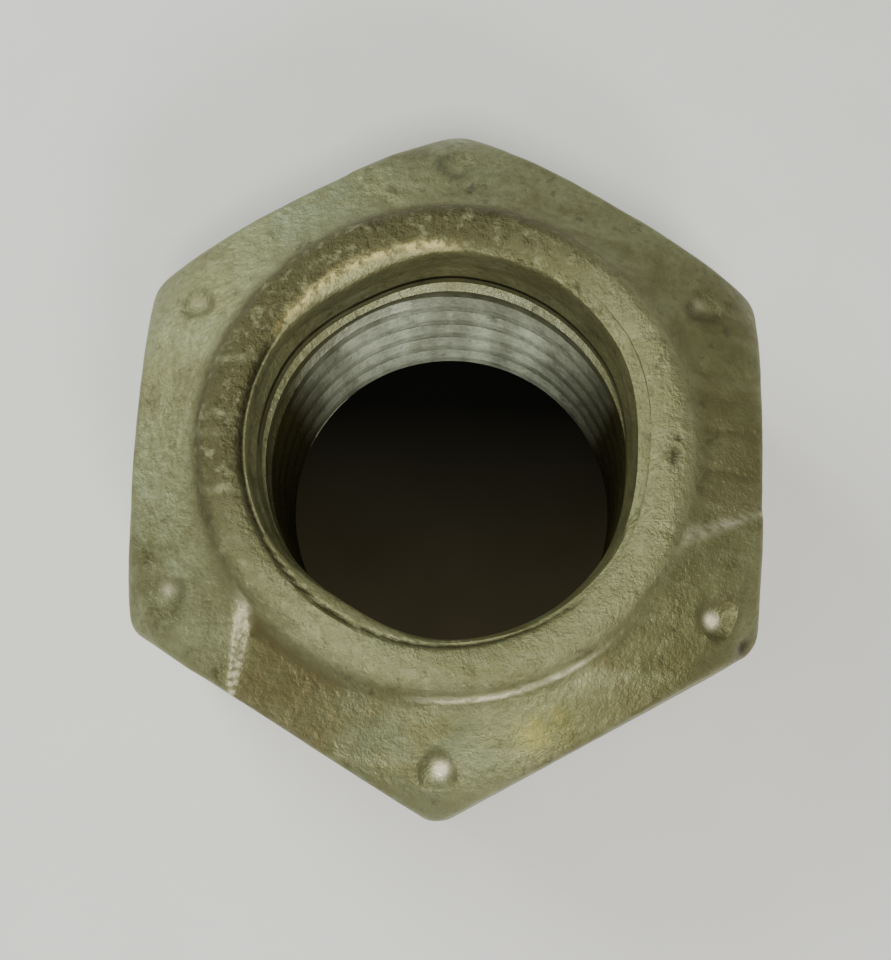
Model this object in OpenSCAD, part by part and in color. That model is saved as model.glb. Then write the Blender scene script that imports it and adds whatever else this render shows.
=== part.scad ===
// All-metal prevailing-torque hex nut: one forged, tapped and crimped piece of steel.
// The origin is on the thread's axis at the bearing face, and +Z points to the collar.
// A flat faces +X, and so does the first crimp.

/* [Hexagon] */
// Width across the flats
flat_w = 14.29; // [12.8:0.01:18]
// Height of a flat at its middle, from the bearing face to the conical top
hex_h = 7.55; // [6:0.05:9.5]
// Radius of the six upright edges
edge_r = 0.6; // [0.2:0.05:1]
// Slope of the conical top, in degrees from level
cone_slope = 26; // [20:1:34]
// Steeper slope of the top over the corners, outside the flats' middles
corner_slope = 40; // [30:1:45]
// Distance from the flats in to the edge of the bearing face
bearing_inset = 0.35; // [0.1:0.05:0.6]
// Slope of the chamfer round the bearing face, in degrees from level
chamfer_slope = 30; // [15:1:40]

/* [Collar] */
// Outside radius of the collar, where it stands on the cone
collar_r = 5.55; // [5.45:0.05:6]
// Height of the collar above the cone
collar_rise = 0.52; // [0.46:0.01:0.8]
// Radius of the collar's rounded rim, outside and inside
rim_r = 0.42; // [0.3:0.01:0.44]
// Width of the level land on top of the rim
rim_land = 0.1; // [0.06:0.01:0.2]

/* [Thread] */
// Nominal diameter of the bolt, at the bottom of the groove
thread_d = 9.525; // [9.3:0.005:10]
// Pitch of the thread, one turn's advance along the axis
pitch = 1.0583; // [1.05:0.0001:1.5]
// Radius of the wall that is left between the turns of the groove
bore_r = 4.225; // [4.05:0.005:4.4]
// Radius of the countersink at the bearing face
sink_r = 5; // [4.8:0.05:5.2]
// Slope of the countersink, in degrees from level
sink_slope = 30; // [20:1:50]
// Slope of the flared mouth, in degrees from level
mouth_slope = 66; // [60:1:72]
// Depth of the highest full turn of the groove, from the top of the rim
first_turn_depth = 1.3; // [1.2:0.05:1.8]

/* [Crimps] */
// Number of crimps, spread evenly over alternate flats
crimp_count = 3; // [2:1:3]
// How far a crimp pushes the thread in towards the axis
crimp_push = 0.18; // [0.05:0.01:0.3]
// Width of a crimp mark along the flat
crimp_w = 3.8; // [2.5:0.1:5]
// Depth of a crimp mark at its sharp side
crimp_depth = 0.42; // [0.3:0.01:0.5]
// How far a crimp mark bites into the collar
crimp_bite = 0.25; // [0.1:0.05:0.4]
// Height of the thread that the crimps squeeze, from the top of the rim
lock_depth = 2.35; // [2.2:0.05:3]

/* [Dimples] */
// Number of grade dimples, one at each corner
dimple_count = 6; // [0:1:6]
// Distance of the dimples from the axis
dimple_place_r = 7; // [6.4:0.05:7.4]
// Radius of a dimple at the surface
dimple_r = 0.46; // [0.2:0.01:0.6]
// Depth of a dimple
dimple_depth = 0.17; // [0.05:0.01:0.3]

/* [Hidden] */

// Fineness of round surfaces, which are true circles, and of the arcs in an outline
round_fn = 96;
arc_steps = 8;
// How far a cutter runs past the surface that it opens
cut_over = 1;

flat_r = flat_w / 2;
corner_r = flat_w / sqrt(3);
foot_z = cone_z(collar_r);
nut_h = foot_z + collar_rise;
rim_out_r = collar_r - rim_r;
rim_in_r = rim_out_r - rim_land;
rim_z = nut_h - rim_r;
mouth_top_r = rim_in_r - rim_r * sin(mouth_slope);
mouth_top_z = rim_z + rim_r * cos(mouth_slope);
mouth_z = mouth_top_z - (mouth_top_r - bore_r) * tan(mouth_slope);
lock_z = nut_h - lock_depth;
bearing_r = flat_r - bearing_inset;
sink_h = (sink_r - bore_r) * tan(sink_slope);

// The crimps' round cutters are larger than the bore and stand off its axis,
// so each one bites into the bore over about a fifth of a turn
lobe_shift = 1.2;
lobe_r = bore_r - crimp_push + lobe_shift;

// Groove section: a 60 degree V with a narrow flat at its bottom
groove_r = thread_d / 2;
groove_flat = pitch / 8;
groove_over = crimp_push + 0.05;
groove_in_r = bore_r - groove_over;
groove_half = groove_flat / 2 + (groove_r - groove_in_r) * tan(30);
groove_top_z = nut_h - first_turn_depth;
groove_turns = floor(groove_top_z / pitch) + 1;

function arc(mid, r, from, to) =
    [for (i = [0 : arc_steps])
        let (a = from + (to - from) * i / arc_steps)
        [mid[0] + r * cos(a), mid[1] + r * sin(a)]];

// Height of the top at a distance from the axis: a cone, and a steeper one over the corners
function cone_z(r) = hex_h + (flat_r - r) * tan(r > flat_r ? corner_slope : cone_slope);

// Six-sided bar with rounded upright edges
module hex_bar() {
    inner_corner_r = corner_r - edge_r * 2 / sqrt(3);
    for (turn = [0 : 60 : 120])
        rotate(turn)
            translate([-flat_r, -inner_corner_r / 2, 0])
                cube([flat_w, inner_corner_r, nut_h]);
    for (turn = [30 : 60 : 330])
        rotate(turn)
            translate([inner_corner_r, 0, 0])
                cylinder(h = nut_h, r = edge_r, $fn = round_fn);
}

// Outline turned about the axis: bearing face, chamfer, two conical bands and rounded collar
module turned_outline() {
    chamfer_top = (corner_r - bearing_r) * tan(chamfer_slope);
    rotate_extrude($fn = round_fn)
        polygon(concat(
            [[0, 0], [bearing_r, 0], [corner_r, chamfer_top]],
            [[corner_r, cone_z(corner_r)], [flat_r, hex_h], [collar_r, foot_z]],
            arc([rim_out_r, rim_z], rim_r, 0, 90),
            [[0, nut_h]]));
}

// Straight bore with its countersink, up to the squeezed part of the thread
module plain_bore() {
    translate([0, 0, -cut_over])
        cylinder(h = lock_z + cut_over, r = bore_r, $fn = round_fn);
    translate([0, 0, -cut_over])
        cylinder(h = cut_over, r = sink_r, $fn = round_fn);
    cylinder(h = sink_h, r1 = sink_r, r2 = bore_r, $fn = round_fn);
}

// Flared mouth, squeezed into as many lobes as there are crimps
module squeezed_mouth() {
    intersection() {
        rotate_extrude($fn = round_fn)
            polygon(concat(
                [[0, lock_z - cut_over], [bore_r, lock_z - cut_over], [bore_r, mouth_z]],
                arc([rim_in_r, rim_z], rim_r, 90 + mouth_slope, 90),
                [[rim_in_r, nut_h + cut_over], [0, nut_h + cut_over]]));
        crimped_lobes();
    }
}

// The space that the crimps leave open, from all their round cutters together
module crimped_lobes() {
    intersection_for (i = [0 : crimp_count - 1])
        rotate(i * 360 / crimp_count)
            translate([-lobe_shift, 0, lock_z])
                cylinder(h = lock_depth + cut_over, r = lobe_r, $fn = round_fn);
}

// Grooves of the thread, one ring for each turn, at the real thread's pitch and section
module thread_grooves() {
    for (i = [0 : groove_turns - 1])
        translate([0, 0, groove_top_z - i * pitch])
            rotate_extrude($fn = round_fn)
                polygon([[groove_in_r, -groove_half], [groove_r, -groove_flat / 2],
                         [groove_r, groove_flat / 2], [groove_in_r, groove_half]]);
}

// Wedge pressed into the conical top: deep along its clockwise side and running out on the other
module crimp_mark() {
    mark_len = (flat_r - collar_r) / cos(cone_slope) + crimp_bite + cut_over;
    tilt = atan(crimp_depth / crimp_w);
    translate([collar_r, 0, foot_z])
        rotate([0, cone_slope, 0])
            translate([-crimp_bite, -crimp_w / 2, -crimp_depth])
                rotate([tilt, 0, 0])
                    cube([mark_len, crimp_w, 2 * cut_over]);
}

// Shallow ball cut, square to the conical top
module dimple() {
    ball_r = (dimple_r * dimple_r + dimple_depth * dimple_depth) / (2 * dimple_depth);
    translate([dimple_place_r, 0, cone_z(dimple_place_r)])
        rotate([0, cone_slope, 0])
            translate([0, 0, ball_r - dimple_depth])
                sphere(r = ball_r, $fn = round_fn);
}

module nut_body() {
    color("darkkhaki")
        difference() {
            intersection() {
                hex_bar();
                turned_outline();
            }
            plain_bore();
            squeezed_mouth();
            thread_grooves();
            for (i = [0 : crimp_count - 1])
                rotate(i * 360 / crimp_count)
                    crimp_mark();
            for (i = [0 : 1 : dimple_count - 1])
                rotate(30 + i * 60)
                    dimple();
        }
}

nut_body();
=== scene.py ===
import math
import bpy
import numpy as np
from mathutils import Matrix, Vector


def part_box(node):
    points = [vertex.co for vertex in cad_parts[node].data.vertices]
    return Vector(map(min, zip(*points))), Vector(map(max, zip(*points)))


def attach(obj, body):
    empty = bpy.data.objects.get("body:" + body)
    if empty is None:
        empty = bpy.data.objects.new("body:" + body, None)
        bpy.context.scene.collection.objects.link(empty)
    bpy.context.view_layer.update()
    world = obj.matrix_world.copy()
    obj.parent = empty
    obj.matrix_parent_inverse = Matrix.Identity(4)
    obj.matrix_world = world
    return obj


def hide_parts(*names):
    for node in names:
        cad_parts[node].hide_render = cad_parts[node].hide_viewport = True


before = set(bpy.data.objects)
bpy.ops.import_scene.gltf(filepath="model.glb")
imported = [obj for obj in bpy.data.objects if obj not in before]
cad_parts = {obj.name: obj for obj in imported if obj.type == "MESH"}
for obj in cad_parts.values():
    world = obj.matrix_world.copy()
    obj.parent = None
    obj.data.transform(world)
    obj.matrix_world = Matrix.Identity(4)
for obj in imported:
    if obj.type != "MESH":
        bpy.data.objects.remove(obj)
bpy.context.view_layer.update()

# All-metal hex lock nut. It is modelled in millimetres and brought to metres at the end.
mm = 0.001
print("stage 1: frame loaded")


def clearSelection():
    if bpy.context.object and bpy.context.object.mode != "OBJECT":
        bpy.ops.object.mode_set(mode="OBJECT")
    bpy.ops.object.select_all(action="DESELECT")


def pick(obj):
    clearSelection()
    obj.select_set(True)
    bpy.context.view_layer.objects.active = obj


def applyModifier(obj, mod):
    pick(obj)
    bpy.ops.object.modifier_apply(modifier=mod.name)


def readPoints(obj):
    flat = np.zeros(len(obj.data.vertices) * 3)
    obj.data.vertices.foreach_get("co", flat)
    return flat.reshape(-1, 3)


def writePoints(obj, points):
    obj.data.vertices.foreach_set("co", points.ravel())
    obj.data.update()


def writeAttribute(obj, name, values):
    layer = obj.data.attributes.new(name, "FLOAT", "POINT")
    layer.data.foreach_set("value", np.clip(values, 0, 1).astype(np.float32))


def smoothStep(low, high, value):
    t = np.clip((value - low) / (high - low), 0, 1)
    return t * t * (3 - 2 * t)


def bump(value, middle, width):
    return np.exp(-((value - middle) / width) ** 2)


# angle from a direction, folded to -180..180
def turnFrom(az, middle):
    return (az - middle + 180) % 360 - 180


def linear(red, green, blue):
    parts = [c / 255 for c in (red, green, blue)]
    return [c / 12.92 if c <= 0.04045 else ((c + 0.055) / 1.055) ** 2.4 for c in parts] + [1]


nutBody = {
    "acrossFlats": 14.29, "flatHeight": 7.55, "cornerRadius": 0.6,
    "crownSlope": 26, "cornerDrop": 0.46,              # the crown falls faster past the flats
    "bearingRadius": 6.795, "chamferSlope": 30,
    "footRadius": 5.55, "rimRadius": 0.42, "collarRise": 0.52,
    "footFillet": 0.34, "farFillet": 0.34, "rimFrom": 34,
    "lipRadius": 4.44, "lipDrop": 0.2, "boreTop": 7.45,       # a broad crown rolls over into the mouth
    "boreRadius": 4.225, "sinkRadius": 5.0, "sinkSlope": 30,
    "pitch": 1.0583, "threadRadius": 4.66, "threadPhase": 7.62, "shadowLinePhase": 7.20,
    "tapTurns": 11, "tapSteps": 90, "tapInner": 4.0,
    "azimuths": 420, "softEdge": 0.13,
}
flatRadius = nutBody["acrossFlats"] / 2
footHeight = nutBody["flatHeight"] + (flatRadius - nutBody["footRadius"]) * math.tan(
    math.radians(nutBody["crownSlope"]))
nutHeight = footHeight + nutBody["collarRise"]


def hexRadius(az):
    # distance from the axis to a flat, or to the rounded corner between two flats
    fromFlat = abs((az + 30) % 60 - 30)
    cornerRadius = nutBody["cornerRadius"]
    middle = (flatRadius - cornerRadius) / math.cos(math.radians(30))
    if flatRadius * math.tan(math.radians(fromFlat)) < middle / 2:
        return flatRadius / math.cos(math.radians(fromFlat))
    side = middle * math.sin(math.radians(30 - fromFlat))
    return middle * math.cos(math.radians(30 - fromFlat)) + math.sqrt(cornerRadius ** 2 - side ** 2)


def crownHeight(r):
    past = max(0.0, r - flatRadius)
    slope = math.tan(math.radians(nutBody["crownSlope"]))
    return nutBody["flatHeight"] + (flatRadius - r) * slope - nutBody["cornerDrop"] * past * past


def straight(start, end, count):
    return [(start[0] + (end[0] - start[0]) * i / count, start[1] + (end[1] - start[1]) * i / count)
            for i in range(count)]


def bend(start, corner, end, count):
    points = []
    for i in range(count):
        t = i / count
        points.append(tuple((1 - t) ** 2 * s + 2 * t * (1 - t) * c + t * t * e
                            for s, c, e in zip(start, corner, end)))
    return points


def sectionLine(outer, az=270):
    # closed outline of one half section: bearing face, wall, crown, collar, mouth, bore, countersink
    n = nutBody
    soft, bore = n["softEdge"], n["boreRadius"]
    chamferTan = math.tan(math.radians(n["chamferSlope"]))
    sinkTan = math.tan(math.radians(n["sinkSlope"]))
    chamferTop = (outer - n["bearingRadius"]) * chamferTan
    edge = crownHeight(outer)
    foot, rim = n["footRadius"], n["rimRadius"]
    rimHeight = nutHeight - rim
    # the foot is crisp on the near side and washed out on the far one
    rimOut, fillet = foot - rim, n["footFillet"] + n["farFillet"] * max(0, math.sin(math.radians(az)))
    rimFrom = n["rimFrom"]
    rimTurn = math.radians(rimFrom)
    sinkTop = (n["sinkRadius"] - bore) * sinkTan
    lip, boreTop = (n["lipRadius"], nutHeight - n["lipDrop"]), n["boreTop"]
    lipUnder = (n["lipRadius"] - 0.08, nutHeight - 0.55)
    lipStart = (n["sinkRadius"] - 0.08, 0.08 * sinkTan)
    faceStart, faceEnd = (n["sinkRadius"] + 0.08, 0), (n["bearingRadius"] - 0.1, 0)
    chamferStart = (n["bearingRadius"] + 0.08, 0.08 * chamferTan)
    chamferEnd = (outer - 0.06, chamferTop - 0.06 * chamferTan)
    wallStart, wallEnd = (outer, chamferTop + 0.07), (outer, edge - soft)
    crownStart = (outer - soft, crownHeight(outer - soft))
    crownEnd = (foot + fillet, crownHeight(foot + fillet))
    rimStart = (rimOut + rim * math.cos(rimTurn), rimHeight + rim * math.sin(rimTurn))
    funnelEnd = (bore + 0.02, boreTop + 0.12)
    boreStart, boreEnd = (bore, boreTop - 0.12), (bore, sinkTop + 0.06)
    sinkStart = (bore + 0.07, sinkTop - 0.07 * sinkTan)
    line = bend(lipStart, (n["sinkRadius"], 0), faceStart, 3)
    line += straight(faceStart, faceEnd, 7)
    line += bend(faceEnd, (n["bearingRadius"], 0), chamferStart, 3)
    line += straight(chamferStart, chamferEnd, 5)
    line += bend(chamferEnd, (outer, chamferTop), wallStart, 3)
    line += straight(wallStart, wallEnd, 26)
    line += bend(wallEnd, (outer, edge), crownStart, 5)
    for i in range(27):
        r = crownStart[0] + (crownEnd[0] - crownStart[0]) * i / 27
        line.append((r, crownHeight(r)))
    line += bend(crownEnd, (foot + 0.02, footHeight), rimStart, 7)
    for i in range(8):
        a = math.radians(rimFrom + (90 - rimFrom) * i / 8)
        line.append((rimOut + rim * math.cos(a), rimHeight + rim * math.sin(a)))
    line += bend((rimOut, nutHeight), (lip[0] + 0.17, nutHeight - 0.01), lip, 12)
    line += bend(lip, (lip[0] - 0.055, lip[1] - 0.07), lipUnder, 6)
    line += straight(lipUnder, funnelEnd, 9)
    line += bend(funnelEnd, (bore, boreTop), boreStart, 4)
    line += straight(boreStart, boreEnd, 34)
    line += bend(boreEnd, (bore, sinkTop), sinkStart, 3)
    line += straight(sinkStart, lipStart, 5)
    return line


def spinBody():
    # the section is a ring of points, spun round the axis and then drawn out to the hexagon
    base = np.array(sectionLine(flatRadius))
    clearSelection()
    bpy.ops.mesh.primitive_circle_add(vertices=len(base), radius=1, location=(0, 0, 0))
    body = bpy.context.object
    body.name = "nutBody"
    writePoints(body, np.stack([base[:, 0], np.zeros(len(base)), base[:, 1]], 1))
    bpy.ops.object.mode_set(mode="EDIT")
    bpy.ops.mesh.select_all(action="SELECT")
    bpy.ops.mesh.spin(steps=nutBody["azimuths"], angle=math.tau, center=(0, 0, 0), axis=(0, 0, 1))
    bpy.ops.mesh.select_all(action="SELECT")
    bpy.ops.mesh.remove_doubles(threshold=0.0005)
    bpy.ops.object.mode_set(mode="OBJECT")
    points = readPoints(body)
    r, z = np.hypot(points[:, 0], points[:, 1]), points[:, 2]
    az = np.degrees(np.arctan2(points[:, 1], points[:, 0])) % 360
    step = 360 / nutBody["azimuths"]
    column = np.rint(az / step).astype(int) % nutBody["azimuths"]
    station = np.array([np.argmin((base[:, 0] - a) ** 2 + (base[:, 1] - b) ** 2) for a, b in zip(r, z)])
    sections = np.array([sectionLine(hexRadius(i * step), i * step) for i in range(nutBody["azimuths"])])
    rz = sections[column, station]
    turned = np.radians(column * step)
    writePoints(body, np.stack([rz[:, 0] * np.cos(turned), rz[:, 0] * np.sin(turned), rz[:, 1]], 1))
    pick(body)
    bpy.ops.object.mode_set(mode="EDIT")
    bpy.ops.mesh.select_all(action="SELECT")
    bpy.ops.mesh.normals_make_consistent(inside=False)
    bpy.ops.object.mode_set(mode="OBJECT")
    return body


def cutThread(body):
    # the tap is a 60 degree V, screwed right-hand up the axis and closed at both ends
    n = nutBody
    pitch = n["pitch"]
    rootHalf, innerRadius = pitch / 16, n["tapInner"]
    innerHalf = rootHalf + (n["threadRadius"] - innerRadius) * math.tan(math.radians(30))
    clearSelection()
    bpy.ops.mesh.primitive_circle_add(vertices=4, radius=1, location=(0, 0, 0))
    tap = bpy.context.object
    tap.name = "tap"
    low = n["threadPhase"] - pitch * (n["tapTurns"] - 2)
    corners = [(innerRadius, -innerHalf), (n["threadRadius"], -rootHalf),
               (n["threadRadius"], rootHalf), (innerRadius, innerHalf)]
    writePoints(tap, np.array([(r, 0, low + z) for r, z in corners], float))
    screw = tap.modifiers.new("screw", "SCREW")
    screw.angle = math.tau
    screw.screw_offset = pitch
    screw.iterations = n["tapTurns"]
    screw.steps = screw.render_steps = n["tapSteps"]
    applyModifier(tap, screw)
    bpy.ops.object.mode_set(mode="EDIT")
    bpy.ops.mesh.select_all(action="SELECT")
    bpy.ops.mesh.fill_holes(sides=4)
    bpy.ops.mesh.select_all(action="SELECT")
    bpy.ops.mesh.normals_make_consistent(inside=False)
    bpy.ops.object.mode_set(mode="OBJECT")
    cut = body.modifiers.new("thread", "BOOLEAN")
    cut.operation = "DIFFERENCE"
    cut.solver = "EXACT"
    cut.object = tap
    applyModifier(body, cut)
    bpy.data.objects.remove(tap)


# each crimp: its direction, how deep the wedge is at its sharp side, and how strongly it shows, with the
# strength of the painted highlight on its step
crimps = [
    {"az": 0, "depth": 0.22, "lipPush": 0.16, "brown": 0.3, "highlight": 0.45,
     "lines": [(0.57, 0.6), (-0.35, 0.45), (1.9, 0.4)]},
    {"az": 120, "depth": 0.07, "lipPush": 0.20, "brown": 0.1, "highlight": 0.0,
     "lines": [(-1.6, 0.3)]},
    {"az": 240, "depth": 0.36, "lipPush": 0.24, "brown": 1.0, "highlight": 0.7,
     "lines": [(0.3, 0.5), (1.75, 0.5)]},
]
# forging the mouth closes the top turn, and it stays open a little between two directions
threadShape = {"fullAbove": 6.6, "shallowBelow": 5.4, "shallowShare": 0.32, "closedAbove": 7.3,
               "closedShare": 0.15, "openFrom": 140, "openTo": 300, "openShare": 0.45}
crimpShape = {
    "footReach": 5.1, "footHalf": 2.15, "narrowing": 0.46,   # the wedge narrows towards the flat
    "creaseAt": 0.25, "creaseShare": 0.42, "lineWidth": 0.07, "lineDepth": 0.03,
    # share of the full depth: it falls off towards the flat and under the collar
    "depthPlaces": [5.0, 5.45, 5.8, 7.2], "depthShares": [0, 0.75, 1, 0.34],
    "facePlaces": [5.0, 7.1], "faceWidths": [0.42, 0.10],
    # the squeeze of the mouth: by height, then by distance from the axis
    "pushHalfAngle": 34, "boltPush": 0.14, "pushHeights": [6.1, 6.9, 7.6, 8.6], "pushStart": 0.12,
    "reachPlaces": [4.75, 5.1, 5.5], "reachShares": [1, 0.45, 0],
}


def closeTopTurn(body):
    points = readPoints(body)
    n, t = nutBody, threadShape
    r, z = np.hypot(points[:, 0], points[:, 1]), points[:, 2]
    az = np.degrees(np.arctan2(points[:, 1], points[:, 0])) % 360
    wall = [p for p in sectionLine(flatRadius) if p[0] < n["lipRadius"] + 0.3 and p[1] > 1]
    heights = np.array([p[1] for p in wall])[::-1]
    radii = np.array([p[0] for p in wall])[::-1]
    wallRadius = np.interp(z, heights, radii)
    stillOpen = smoothStep(t["openFrom"] - 12, t["openFrom"] + 12, az)
    stillOpen *= 1 - smoothStep(t["openTo"] - 30, t["openTo"], az)
    top = t["closedShare"] + (t["openShare"] - t["closedShare"]) * stillOpen
    lower = t["shallowShare"] + (1 - t["shallowShare"]) * smoothStep(t["shallowBelow"], t["fullAbove"], z)
    keep = lower + (top - lower) * smoothStep(t["closedAbove"] - 0.12, t["closedAbove"] + 0.12, z)
    inside = (r < n["threadRadius"] + 0.02) & (r > wallRadius + 0.004) & (z > 0.6) & (z < nutHeight - 0.3)
    newRadius = np.where(inside, wallRadius + (r - wallRadius) * keep, r)
    points[:, 0] *= newRadius / r
    points[:, 1] *= newRadius / r
    writePoints(body, points)


def pressCrimps(body):
    points = readPoints(body)
    count = len(points)
    floorShade, stepHighlight = np.zeros(count), np.zeros(count)
    r = np.hypot(points[:, 0], points[:, 1])
    z = points[:, 2].copy()
    az = np.degrees(np.arctan2(points[:, 1], points[:, 0]))
    crown = (z > 6.2) & (r > 5.0)
    c = crimpShape
    for crimp in crimps:
        a = math.radians(crimp["az"])
        outward = points[:, 0] * math.cos(a) + points[:, 1] * math.sin(a)
        across = -points[:, 0] * math.sin(a) + points[:, 1] * math.cos(a)
        half = c["footHalf"] - (outward - c["footReach"]) * c["narrowing"]
        along = np.interp(outward, c["depthPlaces"], c["depthShares"])
        faceWidth = np.interp(outward, c["facePlaces"], c["faceWidths"])
        rise = smoothStep(0, 1, (across + half) / faceWidth)
        left = np.clip((across + half) / (half + c["creaseAt"]), 0, 1)
        right = np.clip((across - c["creaseAt"]) / (half - c["creaseAt"]), 0, 1)
        floor = (1 - (1 - c["creaseShare"]) * left) * np.where(right > 0, 1 - 0.85 * right, 1)
        floor = floor * (1 - smoothStep(0, 0.12, across - half))
        inside = crown & (outward > 4.9) & (np.abs(across) < 3.2)
        depth = np.where(inside, crimp["depth"] * along * rise * floor, 0)
        # only the crown goes down fully, the wall under it follows a little
        follow = smoothStep(6.3, 7.2, z)
        points[:, 2] -= depth * follow
        shade = rise * (1 - smoothStep(-0.3, 0.4, across - half)) * smoothStep(5.45, 5.75, r)
        floorShade += np.where(inside, shade, 0) * crimp["brown"]
        # a painted highlight on the face of the step
        onFace = bump(across + half, faceWidth * 0.5, faceWidth * 0.5)
        onFace = onFace * smoothStep(5.5, 5.65, r) * smoothStep(6.6, 7.1, z)
        stepHighlight += np.where(inside, onFace, 0) * crimp["highlight"]
        # lines across the crimp are pressed in a little and drawn darker
        for place, strength in crimp["lines"]:
            creaseLine = bump(across, place, c["lineWidth"]) * smoothStep(5.6, 5.8, r)
            floorShade += np.where(inside, creaseLine * strength, 0)
            points[:, 2] -= np.where(inside, creaseLine * c["lineDepth"], 0)
    # the mouth and the top turns of the thread are squeezed in at the crimps
    for crimp in crimps:
        off = np.abs(turnFrom(az, crimp["az"]))
        share = 1 - smoothStep(0, c["pushHalfAngle"], off)
        push = np.interp(z, c["pushHeights"], [0, c["pushStart"], c["boltPush"], crimp["lipPush"]])
        reach = np.interp(r, c["reachPlaces"], c["reachShares"])
        move = push * share * reach * (z > 6.0)
        points[:, 0] -= move * np.cos(np.radians(az))
        points[:, 1] -= move * np.sin(np.radians(az))
    writePoints(body, points)
    return floorShade, stepHighlight


# the six corner dimples, each struck a little differently: place, radius, depth, and the offset and strength
# of a painted highlight in each
dimples = [
    {"az": 31.5, "reach": 6.76, "radius": 0.44, "depth": 0.12, "glint": (-0.1, 0.1), "highlight": 0.12},
    {"az": 90.2, "reach": 6.95, "radius": 0.45, "depth": 0.13, "glint": (0, 0), "highlight": 0.04},
    {"az": 150.5, "reach": 6.75, "radius": 0.42, "depth": 0.09, "glint": (0, 0), "highlight": 0.06},
    {"az": 210.0, "reach": 7.08, "radius": 0.48, "depth": 0.13, "glint": (0.02, 0.2), "highlight": 0.25},
    {"az": 270.0, "reach": 7.08, "radius": 0.44, "depth": 0.21, "glint": (0.13, 0.04), "highlight": 1.0},
    {"az": 329.5, "reach": 7.05, "radius": 0.46, "depth": 0.22, "glint": (-0.12, -0.04), "highlight": 1.0},
]
# small pits and nicks: place on the top in polar form, height, size, depth
pits = [
    {"az": -1.5, "reach": 5.02, "height": 8.83, "radius": 0.16, "depth": 0.12},
    {"az": 2.2, "reach": 5.05, "height": 8.83, "radius": 0.10, "depth": 0.08},
    {"az": -3.8, "reach": 4.98, "height": 8.83, "radius": 0.10, "depth": 0.09},
    {"az": 160.0, "reach": 5.62, "height": 8.32, "radius": 0.10, "depth": 0.06},
    {"az": 164.5, "reach": 5.58, "height": 8.33, "radius": 0.12, "depth": 0.07},
    {"az": 128.0, "reach": 5.75, "height": 8.25, "radius": 0.10, "depth": 0.05},
    {"az": -31.0, "reach": 8.05, "height": 6.8, "radius": 0.32, "depth": 0.16},
    {"az": 247.0, "reach": 5.35, "height": 8.55, "radius": 0.10, "depth": 0.07},
    {"az": -8.0, "reach": 5.75, "height": 8.2, "radius": 0.12, "depth": 0.05},
    {"az": 5.0, "reach": 5.85, "height": 8.2, "radius": 0.10, "depth": 0.05},
]
# a rolled burr stands along the collar's foot in four places
burrs = [
    {"az": -48, "width": 9, "height": 0.035}, {"az": -62, "width": 5, "height": 0.03},
    {"az": -78, "width": 12, "height": 0.02}, {"az": 160, "width": 14, "height": 0.02},
]
lipFold = {"radius": 4.52, "width": 0.05, "depth": 0.1, "shade": 0.9}


def placeOf(mark, height):
    a = math.radians(mark["az"])
    return np.array([mark["reach"] * math.cos(a), mark["reach"] * math.sin(a), height])


def strikeMarks(body):
    points = readPoints(body)
    dimpleHighlight, pitShade = np.zeros(len(points)), np.zeros(len(points))
    for mark in dimples:
        middle = placeOf(mark, crownHeight(mark["reach"]))
        near = points[:, 2] > middle[2] - 1.2
        away = np.linalg.norm(points[:, :2] - middle[:2], axis=1) / mark["radius"]
        around = np.arctan2(points[:, 1] - middle[1], points[:, 0] - middle[0])
        wobble = 1 + 0.1 * np.sin(3 * around + mark["az"])
        away = away * wobble
        bowl = np.where(near, np.clip(1 - away ** 2, 0, 1), 0)
        lip = np.where(near, bump(away, 1.12, 0.16), 0)
        points[:, 2] -= mark["depth"] * bowl ** 0.8
        points[:, 2] += 0.008 * lip
        # a painted highlight on one side of each dimple and a ring of painted shade on its other side
        spot = np.linalg.norm(points[:, :2] - middle[:2] - mark["glint"], axis=1)
        dimpleHighlight += np.where(near, bump(spot, 0, 0.14), 0) * mark["highlight"] * 1.7
        shadedSide = np.clip(0.6 + 1.2 * (spot / mark["radius"] - 0.5), 0, 1)
        pitShade += (0.5 - 0.25 * mark["highlight"]) * np.where(near, bump(away, 0.75, 0.3), 0) * shadedSide
    for mark in pits:
        middle = placeOf(mark, mark["height"])
        away = np.linalg.norm(points - middle, axis=1) / mark["radius"]
        bowl = np.exp(-away ** 2 * 1.6)
        toAxis = -middle / np.linalg.norm(middle)
        if mark["reach"] < 7.5:
            toAxis = np.array([0, 0, -1.0])
        points += mark["depth"] * bowl[:, None] * toAxis
        # each pit is also drawn darker, as painted shade
        pitShade += bowl
    # the run-out of the top turn leaves a fold round part of the lip, drawn darker as painted shade
    turned = np.degrees(np.arctan2(points[:, 1], points[:, 0])) % 360
    fold = bump(np.hypot(points[:, 0], points[:, 1]), lipFold["radius"], lipFold["width"])
    fold *= points[:, 2] > 8.3
    fold *= smoothStep(135, 160, turned) * (1 - smoothStep(295, 320, turned))
    points[:, 2] -= lipFold["depth"] * fold
    pitShade += lipFold["shade"] * fold
    az = np.degrees(np.arctan2(points[:, 1], points[:, 0]))
    r = np.hypot(points[:, 0], points[:, 1])
    for burr in burrs:
        ridge = bump(turnFrom(az, burr["az"]), 0, burr["width"]) * bump(r, 5.66, 0.07) * (points[:, 2] > 8)
        points[:, 2] += burr["height"] * ridge
    writePoints(body, points)
    return dimpleHighlight, pitShade


unevenness = {"slow": {"size": 1.7, "strength": 0.055}, "grain": {"size": 0.34, "strength": 0.035}}


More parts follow.
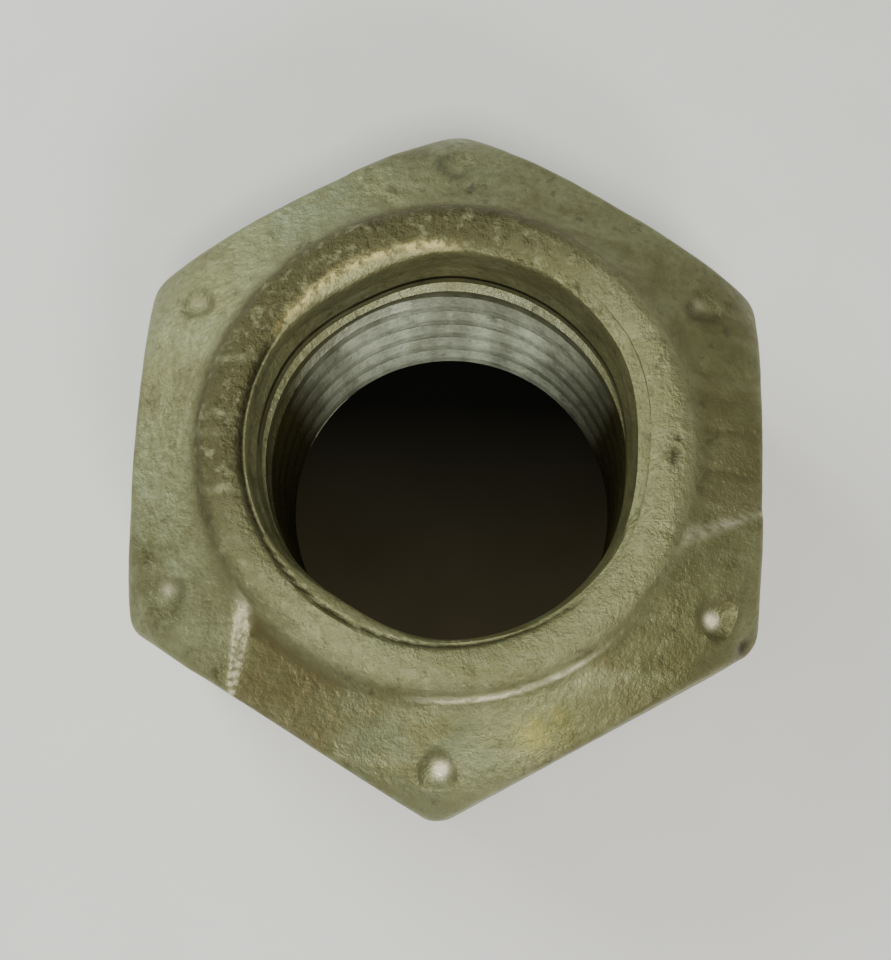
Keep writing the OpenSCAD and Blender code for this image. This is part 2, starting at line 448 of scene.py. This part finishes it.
def roughen(body):
    # forged and plated unevenness: a slow one all over, a grainy one strongest on the collar
    points = readPoints(body)
    r = np.hypot(points[:, 0], points[:, 1])
    topSide = smoothStep(5.5, 7.0, points[:, 2])
    collar = topSide * smoothStep(4.3, 4.7, r) * (1 - smoothStep(5.6, 5.9, r))
    outside = smoothStep(4.6, 5.0, r)
    groups = {"slow": outside * (0.35 + 0.65 * topSide), "grain": 0.25 * outside + 0.75 * collar}
    for name, weights in groups.items():
        group = body.vertex_groups.new(name=name)
        for level in range(1, 11):
            members = np.nonzero(np.rint(weights * 10) == level)[0].tolist()
            if members:
                group.add(members, level / 10, "REPLACE")
    for name, layer in unevenness.items():
        clouds = bpy.data.textures.new(name, "CLOUDS")
        clouds.noise_scale = layer["size"]
        clouds.noise_depth = 2
        push = body.modifiers.new(name, "DISPLACE")
        push.texture = clouds
        push.texture_coords = "LOCAL"
        push.strength = layer["strength"]
        push.mid_level = 0.5
        push.vertex_group = name
        applyModifier(body, push)
    body.vertex_groups.clear()


# parts of the surface that the colours follow: pairs are where one starts and is full, in mm or degrees
regions = {
    "boreRadii": (4.75, 4.85), "boreHeights": (5.4, 7.2),
    "funnelRadii": (4.4, 4.62), "funnelHeights": (5.8, 7.2),
    "collarInner": (4.4, 4.5), "collarOuter": (5.5, 5.8), "collarHeights": (8.1, 8.3),
    "ridgeRadius": 4.54, "ridgeWidth": 0.1, "ridgeAbove": 8.4, "ridgeFrom": (84, 96), "ridgeTo": (138, 156),
    "lineRadius": 5.64, "lineWidth": 0.035, "lineAbove": 8, "lineFrom": (-99, -86), "lineTo": (-60, -46),
    "edgeInset": 0.05, "edgeWidth": 0.10, "edgeDrop": 0.04, "edgeBand": 0.14,
}


def surfaceRegions(points):
    g = regions
    r = np.hypot(points[:, 0], points[:, 1])
    z = points[:, 2]
    az = np.degrees(np.arctan2(points[:, 1], points[:, 0]))
    turned = az % 360
    outer = np.array([hexRadius(a) for a in turned])
    edgeHeight = np.array([crownHeight(h) for h in outer])
    edge = bump(r, outer - g["edgeInset"], g["edgeWidth"])
    edge = edge * bump(z, edgeHeight - g["edgeDrop"], g["edgeBand"])
    # a painted highlight along the collar's foot on the near side
    line = bump(r, g["lineRadius"], g["lineWidth"]) * (z > g["lineAbove"])
    line = line * smoothStep(*g["lineFrom"], az) * (1 - smoothStep(*g["lineTo"], az))
    ridge = bump(r, g["ridgeRadius"], g["ridgeWidth"]) * (z > g["ridgeAbove"])
    ridge = ridge * smoothStep(*g["ridgeFrom"], turned) * (1 - smoothStep(*g["ridgeTo"], turned))
    wall = 1 - smoothStep(*g["boreRadii"], r)
    collar = smoothStep(*g["collarInner"], r) * (1 - smoothStep(*g["collarOuter"], r))
    return {
        "wornEdge": edge, "footHighlight": line, "lipRidge": ridge, "wall": wall,
        "bore": wall * (1 - smoothStep(*g["boreHeights"], z)),
        "funnel": (1 - smoothStep(*g["funnelRadii"], r)) * smoothStep(*g["funnelHeights"], z),
        "collar": collar * smoothStep(*g["collarHeights"], z),
    }


def makeNutBody():
    body = spinBody()
    print("stage 2: section spun,", len(body.data.vertices), "points")
    cutThread(body)
    print("stage 3: thread cut,", len(body.data.vertices), "points")
    closeTopTurn(body)
    floorShade, stepHighlight = pressCrimps(body)
    dimpleHighlight, pitShade = strikeMarks(body)
    roughen(body)
    points = readPoints(body)
    layers = surfaceRegions(points)
    layers.update({"crimpFloor": floorShade, "stepHighlight": stepHighlight, "dimple": dimpleHighlight, "pit": pitShade})
    for name, values in layers.items():
        writeAttribute(body, name, values)
    # nothing stands outside the solid's own box
    low, high = [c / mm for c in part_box("nut_body")[0]], [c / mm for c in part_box("nut_body")[1]]
    writePoints(body, np.clip(points, low, high))
    pick(body)
    bpy.ops.transform.resize(value=(mm, mm, mm), center_override=(0, 0, 0))
    bpy.ops.object.transform_apply(location=True, rotation=True, scale=True)
    bpy.ops.object.shade_smooth_by_angle(angle=math.radians(38))
    return body


class Nodes:
    # short way to add and join shader nodes
    def __init__(self, name):
        self.material = bpy.data.materials.new(name)
        self.material.use_nodes = True
        self.tree = self.material.node_tree
        self.shader = self.tree.nodes["Principled BSDF"]
        self.coords = self.tree.nodes.new("ShaderNodeTexCoord")

    def join(self, source, target):
        if isinstance(source, bpy.types.NodeSocket):
            self.tree.links.new(source, target)
        else:
            target.default_value = source

    def cloud(self, scale, detail=4, roughness=0.55, stretch=None, distortion=0):
        node = self.tree.nodes.new("ShaderNodeTexNoise")
        node.inputs["Scale"].default_value = scale
        node.inputs["Detail"].default_value = detail
        node.inputs["Roughness"].default_value = roughness
        node.inputs["Distortion"].default_value = distortion
        source = self.coords.outputs["Object"]
        if stretch:
            turn = self.tree.nodes.new("ShaderNodeMapping")
            turn.inputs["Rotation"].default_value = stretch[0]
            turn.inputs["Scale"].default_value = stretch[1]
            self.tree.links.new(source, turn.inputs["Vector"])
            source = turn.outputs["Vector"]
        self.tree.links.new(source, node.inputs["Vector"])
        return node.outputs["Fac"]

    def span(self, value, low, high, newLow=0.0, newHigh=1.0):
        node = self.tree.nodes.new("ShaderNodeMapRange")
        for name, number in (("From Min", low), ("From Max", high), ("To Min", newLow), ("To Max", newHigh)):
            node.inputs[name].default_value = number
        self.join(value, node.inputs["Value"])
        return node.outputs["Result"]

    def math(self, operation, first, second):
        node = self.tree.nodes.new("ShaderNodeMath")
        node.operation = operation
        self.join(first, node.inputs[0])
        self.join(second, node.inputs[1])
        return node.outputs[0]

    def blend(self, share, first, second):
        node = self.tree.nodes.new("ShaderNodeMix")
        node.data_type = "RGBA"
        self.join(share, node.inputs[0])
        self.join(first, node.inputs[6])
        self.join(second, node.inputs[7])
        return node.outputs[2]

    def attribute(self, name):
        node = self.tree.nodes.new("ShaderNodeAttribute")
        node.attribute_name = name
        return node.outputs["Fac"]

    def place(self):
        node = self.tree.nodes.new("ShaderNodeSeparateXYZ")
        self.tree.links.new(self.coords.outputs["Object"], node.inputs[0])
        return node.outputs

    def near(self, spot, radius):
        # 1 at a spot, falling to 0 at its radius
        node = self.tree.nodes.new("ShaderNodeVectorMath")
        node.operation = "DISTANCE"
        self.tree.links.new(self.coords.outputs["Object"], node.inputs[0])
        node.inputs[1].default_value = [c * mm for c in spot]
        return self.span(node.outputs["Value"], radius * mm, radius * 0.25 * mm)


plating = {
    "light": linear(158, 162, 122), "mid": linear(140, 141, 95), "dark": linear(100, 98, 60),
    "brown": linear(102, 95, 60), "greyGreen": linear(144, 155, 125), "tan": linear(146, 144, 102),
    "yellow": linear(176, 166, 80), "rust": linear(118, 100, 48), "wearAndHighlight": linear(250, 244, 206),
    "grimeAndShade": linear(44, 42, 26), "boreWall": linear(240, 248, 220), "umber": linear(80, 76, 46),
    "gold": linear(216, 202, 132), "dimGreen": linear(112, 122, 92),
}

# stains and painted shading on the top: place, how far they spread, colour and strength; the yellow and rust
# ones are stains, the dark and dim green ones painted shade, the grey-green one painted light
stainsAndShading = [
    {"spot": (2.2, -6.2, 8.0), "radius": 0.8, "colour": "yellow", "strength": 0.55},
    {"spot": (-0.9, -5.5, 8.3), "radius": 0.9, "colour": "rust", "strength": 0.65},
    {"spot": (-6.1, 2.6, 7.8), "radius": 1.6, "colour": "tan", "strength": 0.4},
    {"spot": (5.9, 3.9, 7.6), "radius": 1.5, "colour": "dark", "strength": 0.35},
    {"spot": (6.2, -3.9, 7.6), "radius": 1.9, "colour": "dark", "strength": 0.3},
    {"spot": (-3.9, -5.0, 7.8), "radius": 2.2, "colour": "dark", "strength": 0.45},
    {"spot": (-3.4, 6.0, 7.6), "radius": 2.0, "colour": "greyGreen", "strength": 0.5},
    {"spot": (-6.3, -3.0, 7.5), "radius": 2.3, "colour": "dark", "strength": 0.7},
    {"spot": (-0.4, -6.6, 7.4), "radius": 3.0, "colour": "dimGreen", "strength": 0.7},
    {"spot": (5.3, -4.6, 7.6), "radius": 2.6, "colour": "dark", "strength": 0.55},
    {"spot": (-6.7, 0.4, 7.6), "radius": 2.2, "colour": "dark", "strength": 0.3},
]


def mottledColour(n):
    # dull olive zinc plating, blotched at three sizes
    p = plating
    x, y = n.place()[:2]
    slowMottle = n.span(n.cloud(260, 4, 0.6, distortion=0.6), 0.36, 0.66)
    fineMottle = n.span(n.cloud(1300, 5, 0.65), 0.34, 0.68)
    speckle = n.span(n.cloud(5200, 3, 0.7), 0.40, 0.66)
    # painted light: lighter and greyer towards the far left, and a little at the near corner
    paintedSideLight = n.math("ADD", n.math("MULTIPLY", x, -0.62), n.math("MULTIPLY", y, 0.55))
    paintedSideLight = n.span(paintedSideLight, -5.5 * mm, 5.5 * mm)
    nearCorner = n.near((-0.2, -7.2, 7.4), 4.6)
    light = n.math("MAXIMUM", paintedSideLight, n.math("MULTIPLY", nearCorner, 0.15))
    share = n.math("ADD", n.math("MULTIPLY", light, 0.55), n.math("MULTIPLY", slowMottle, 0.45))
    colour = n.blend(share, p["dark"], p["mid"])
    colour = n.blend(n.math("MULTIPLY", share, n.span(fineMottle, 0, 1, 0.55, 1)), colour, p["light"])
    colour = n.blend(n.math("MULTIPLY", n.math("MULTIPLY", light, slowMottle), 0.6), colour, p["greyGreen"])
    colour = n.blend(n.math("MULTIPLY", speckle, 0.5), colour, p["dark"])
    blotch = n.span(n.cloud(560, 5, 0.65, distortion=0.8), 0.50, 0.66)
    colour = n.blend(n.math("MULTIPLY", blotch, 0.6), colour, p["brown"])
    return colour, fineMottle


def collarColour(n, colour):
    # the collar is tanner and the funnel tan; painted shade darkens the collar's far side, painted light the
    # funnel's far part, and painted glints and a golden highlight lie on the collar and in places along the
    # lip
    p = plating
    x, y = n.place()[:2]
    colour = n.blend(n.math("MULTIPLY", n.attribute("collar"), 0.4), colour, p["tan"])
    # painted shade on the collar's far side
    farSide = n.math("SUBTRACT", n.math("MULTIPLY", y, 0.7), n.math("MULTIPLY", x, 0.7))
    farSide = n.span(farSide, -1 * mm, 3 * mm)
    farCollar = n.math("MULTIPLY", n.attribute("collar"), n.math("MULTIPLY", farSide, 0.9))
    colour = n.blend(farCollar, colour, p["umber"])
    colour = n.blend(n.math("MULTIPLY", n.attribute("funnel"), 0.42), colour, p["tan"])
    # painted light on the far part of the funnel
    litFunnel = n.math("MULTIPLY", n.near((-0.6, 4.4, 7.9), 2.6), n.attribute("funnel"))
    colour = n.blend(n.math("MULTIPLY", litFunnel, 0.5), colour, p["tan"])
    # painted glints on the collar
    glints = n.span(n.cloud(3600, 3, 0.6), 0.54, 0.68)
    glints = n.math("MULTIPLY", glints, n.attribute("collar"))
    colour = n.blend(n.math("MULTIPLY", glints, 0.45), colour, p["light"])
    # a painted golden highlight along the lip's ridge
    sparkle = n.span(n.cloud(4200, 4, 0.7), 0.44, 0.56, 0.2, 1)
    ridgeHighlight = n.math("MULTIPLY", n.attribute("lipRidge"), sparkle)
    return n.blend(ridgeHighlight, colour, p["gold"]), ridgeHighlight


def boreColour(n, colour):
    # painted light and shade in the bore: the far wall is painted pale as lit, most towards the bottom, and
    # the sides umber as painted shade
    p = plating
    x, y, z = n.place()
    wallBlotch = n.span(n.cloud(800, 4, 0.6, ((0, 0, 0), (1.6, 1.6, 0.35))), 0.36, 0.62, 0.6, 1)
    litFarWall = n.math("MULTIPLY", n.span(y, 1.6 * mm, 3.9 * mm), n.span(z, 6.9 * mm, 5.0 * mm, 0.15, 1))
    litFarWall = n.math("MULTIPLY", litFarWall, wallBlotch)
    colour = n.blend(n.attribute("bore"), colour, n.blend(litFarWall, p["umber"], p["boreWall"]))
    # a painted shadow of the top turn's groove: a thin dark line round the far side
    turned = n.math("MULTIPLY", n.math("ARCTAN2", y, x), nutBody["pitch"] * mm / math.tau)
    offLine = n.math("SUBTRACT", n.math("SUBTRACT", z, turned), nutBody["shadowLinePhase"] * mm)
    offLine = n.math("ABSOLUTE", offLine, 0)
    grooveShadowLine = n.math("MULTIPLY", n.span(offLine, 0.085 * mm, 0.04 * mm), n.span(y, -1.5 * mm, 1.5 * mm))
    grooveShadowLine = n.math("MULTIPLY", grooveShadowLine, n.attribute("wall"))
    return n.blend(n.math("MULTIPLY", grooveShadowLine, 0.95), colour, p["grimeAndShade"]), litFarWall


def dragLines(n):
    # from the crimping tool and the sorting bin, in two directions
    scratches = n.span(n.cloud(900, 2, 0.5, ((0, 0, math.radians(28)), (0.06, 1.6, 1))), 0.60, 0.72)
    crossed = n.span(n.cloud(1000, 2, 0.5, ((0, 0, math.radians(-62)), (0.05, 1.5, 1))), 0.62, 0.74)
    return n.math("MAXIMUM", scratches, crossed)


def markedColour(n, colour, lines):
    p = plating
    outside = n.span(n.attribute("bore"), 1, 0)
    colour = n.blend(n.math("MULTIPLY", n.math("MULTIPLY", lines, outside), 0.30), colour, p["light"])
    brownNoise = n.span(n.cloud(700, 4, 0.6), 0.36, 0.6, 0.55, 1)
    colour = n.blend(n.math("MULTIPLY", n.attribute("crimpFloor"), brownNoise), colour, p["brown"])
    # stains, and patches of painted light and shade
    for shadeOrStain in stainsAndShading:
        spread = n.span(n.cloud(1500, 4, 0.6), 0.4, 0.62)
        spread = n.math("MULTIPLY", n.near(shadeOrStain["spot"], shadeOrStain["radius"]), spread)
        colour = n.blend(n.math("MULTIPLY", spread, shadeOrStain["strength"]), colour, p[shadeOrStain["colour"]])
    grimeNoise = n.span(n.cloud(2300, 5, 0.7), 0.57, 0.70)
    colour = n.blend(n.math("MULTIPLY", grimeNoise, 0.5), colour, p["grimeAndShade"])
    # painted shade in the pits, the lip's fold and on one side of each dimple
    colour = n.blend(n.math("MULTIPLY", n.attribute("pit"), 0.85), colour, p["grimeAndShade"])
    return colour


def wearAndHighlightShare(n):
    # worn edges, and painted highlights on the crimps' steps, along the collar's foot and in the dimples
    wornBreak = n.span(n.cloud(2600, 4, 0.7), 0.42, 0.58)
    worn = n.math("MULTIPLY", n.attribute("wornEdge"), n.math("MULTIPLY", wornBreak, 0.08))
    highlight = n.math("MAXIMUM", n.attribute("stepHighlight"), n.attribute("footHighlight"))
    highlight = n.math("MULTIPLY", highlight, n.span(wornBreak, 0, 1, 0.4, 1))
    dimple = n.attribute("dimple")
    return n.math("MAXIMUM", n.math("MAXIMUM", worn, highlight), dimple)


def platingGrain(n, lines):
    # grain of the plating, stronger on the collar
    fine = n.math("MULTIPLY", n.cloud(6500, 4, 0.7), 0.6)
    coarse = n.math("MULTIPLY", n.cloud(2100, 4, 0.6), 0.8)
    grain = n.math("SUBTRACT", n.math("ADD", fine, coarse), n.math("MULTIPLY", lines, 0.12))
    bumpNode = n.tree.nodes.new("ShaderNodeBump")
    bumpNode.inputs["Distance"].default_value = 0.12 * mm
    strength = n.math("ADD", n.math("MULTIPLY", n.attribute("collar"), 0.35), 0.6)
    n.join(strength, bumpNode.inputs["Strength"])
    n.join(grain, bumpNode.inputs["Height"])
    n.join(bumpNode.outputs["Normal"], n.shader.inputs["Normal"])


def makePlating():
    n = Nodes("platedSteel")
    colour, fineMottle = mottledColour(n)
    colour, ridgeHighlight = collarColour(n, colour)
    colour, litFarWall = boreColour(n, colour)
    lines = dragLines(n)
    colour = markedColour(n, colour, lines)
    wearAndHighlight = wearAndHighlightShare(n)
    colour = n.blend(wearAndHighlight, colour, plating["wearAndHighlight"])
    n.join(colour, n.shader.inputs["Base Color"])
    # worn places, the painted highlights and the bore's painted lit far wall are less metallic, so their
    # pale colour scatters more light than the plating round them
    dull = n.math("MAXIMUM", wearAndHighlight, ridgeHighlight)
    dull = n.math("MAXIMUM", dull, n.math("MULTIPLY", litFarWall, n.attribute("bore")))
    n.join(n.span(dull, 0, 1, 0.7, 0.2), n.shader.inputs["Metallic"])
    rough = n.span(fineMottle, 0, 1, 0.40, 0.56)
    rough = n.math("SUBTRACT", rough, n.math("MULTIPLY", wearAndHighlight, 0.16))
    n.join(rough, n.shader.inputs["Roughness"])
    platingGrain(n, lines)
    return n.material


nut = makeNutBody()
nut.data.materials.clear()
nut.data.materials.append(makePlating())
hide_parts("nut_body")
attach(nut, "root")
print("stage 4: nut finished,", sum(len(f.vertices) - 2 for f in nut.data.polygons), "triangles")


# the floor's size is in metres, the other places and sizes are in millimetres
studio = {
    "floorSize": 0.6, "floorHeight": -0.02, "patchRadius": 4.9, "patchHeight": 0.01,
    "floorColour": linear(246, 245, 241), "patchGlowColour": linear(52, 48, 34), "worldGrey": 0.34,
}
lamps = [
    {"name": "key", "place": (20, -60, 66), "size": 18, "power": 0.022, "colour": (1, 0.98, 0.93)},
    {"name": "fill", "place": (-60, 44, 66), "size": 60, "power": 0.052, "colour": (0.94, 1, 0.94)},
    {"name": "low", "place": (20, -80, 26), "size": 30, "power": 0.003, "colour": (1, 1, 0.96)},
    {"name": "top", "place": (4, -36, 88), "size": 16, "power": 0.044, "colour": (1, 1, 0.97)},
]
# almost straight down the bore, leaning a little to the near side
cameraView = {"place": (0.85, -8.0, 40.9), "forward": (-0.0253, 0.2155, -0.9762),
              "up": (-0.0313, 0.9758, 0.2162), "lens": 56.8, "sensor": 36}


def plainMaterial(name, colour, roughness):
    n = Nodes(name)
    speck = n.span(n.cloud(400, 3, 0.5), 0.3, 0.7)
    n.join(n.blend(speck, [c * 0.97 for c in colour[:3]] + [1], colour), n.shader.inputs["Base Color"])
    n.shader.inputs["Roughness"].default_value = roughness
    return n.material


def boreShadowMaterial():
    # painted shade with a painted glow: nearly black under the far wall, glowing brown-grey towards the near
    # one
    n = Nodes("boreShadowGlow")
    y = n.place()[1]
    cloud = n.span(n.cloud(300, 3, 0.5), 0.3, 0.7, 0.8, 1)
    share = n.math("MULTIPLY", n.span(y, 3.2 * mm, -3.4 * mm), cloud)
    n.join(n.blend(share, linear(3, 3, 2), studio["patchGlowColour"]), n.shader.inputs["Emission Color"])
    n.shader.inputs["Emission Strength"].default_value = 1
    n.shader.inputs["Base Color"].default_value = linear(6, 6, 4)
    n.shader.inputs["Roughness"].default_value = 0.9
    n.shader.inputs["Specular IOR Level"].default_value = 0.1
    return n.material


def makeStage():
    clearSelection()
    bpy.ops.mesh.primitive_plane_add(size=studio["floorSize"], location=(0, 0, studio["floorHeight"] * mm))
    floor = bpy.context.object
    floor.name = "floor"
    floor.data.materials.append(plainMaterial("paleFloor", studio["floorColour"], 0.8))
    # a dark disc under the bore stands in for the shade inside it
    bpy.ops.mesh.primitive_circle_add(vertices=64, radius=studio["patchRadius"] * mm, fill_type="NGON",
                                      location=(0, 0, studio["patchHeight"] * mm))
    patch = bpy.context.object
    patch.name = "boreShadowPatch"
    patch.data.materials.append(boreShadowMaterial())


def addLamp(lamp):
    clearSelection()
    bpy.ops.object.light_add(type="AREA", location=[c * mm for c in lamp["place"]])
    light = bpy.context.object
    light.name = lamp["name"]
    light.data.shape = "DISK"
    light.data.size = lamp["size"] * mm
    light.data.energy = lamp["power"]
    light.data.color = lamp["colour"]
    aim = Vector((0, 0, 6 * mm)) - light.location
    light.rotation_euler = aim.to_track_quat("-Z", "Y").to_euler()


def makeLights():
    for lamp in lamps:
        addLamp(lamp)
    world = bpy.data.worlds.new("studioWorld")
    world.use_nodes = True
    grey = studio["worldGrey"]
    world.node_tree.nodes["Background"].inputs["Color"].default_value = (grey, grey, grey * 0.98, 1)
    bpy.context.scene.world = world


def makeCamera():
    place = Vector(cameraView["place"]) * mm
    forward = Vector(cameraView["forward"]).normalized()
    up = Vector(cameraView["up"])
    right = forward.cross(up).normalized()
    up = right.cross(forward)
    data = bpy.data.cameras.new("camera")
    data.lens = cameraView["lens"]
    data.sensor_width = cameraView["sensor"]
    data.clip_start = 0.001
    data.clip_end = 10
    camera = bpy.data.objects.new("camera", data)
    bpy.context.scene.collection.objects.link(camera)
    turn = Matrix((right, up, -forward)).transposed().to_4x4()
    camera.matrix_world = Matrix.Translation(place) @ turn
    bpy.context.scene.camera = camera


makeStage()
makeLights()
makeCamera()
print("stage 5: floor, lights and camera set")
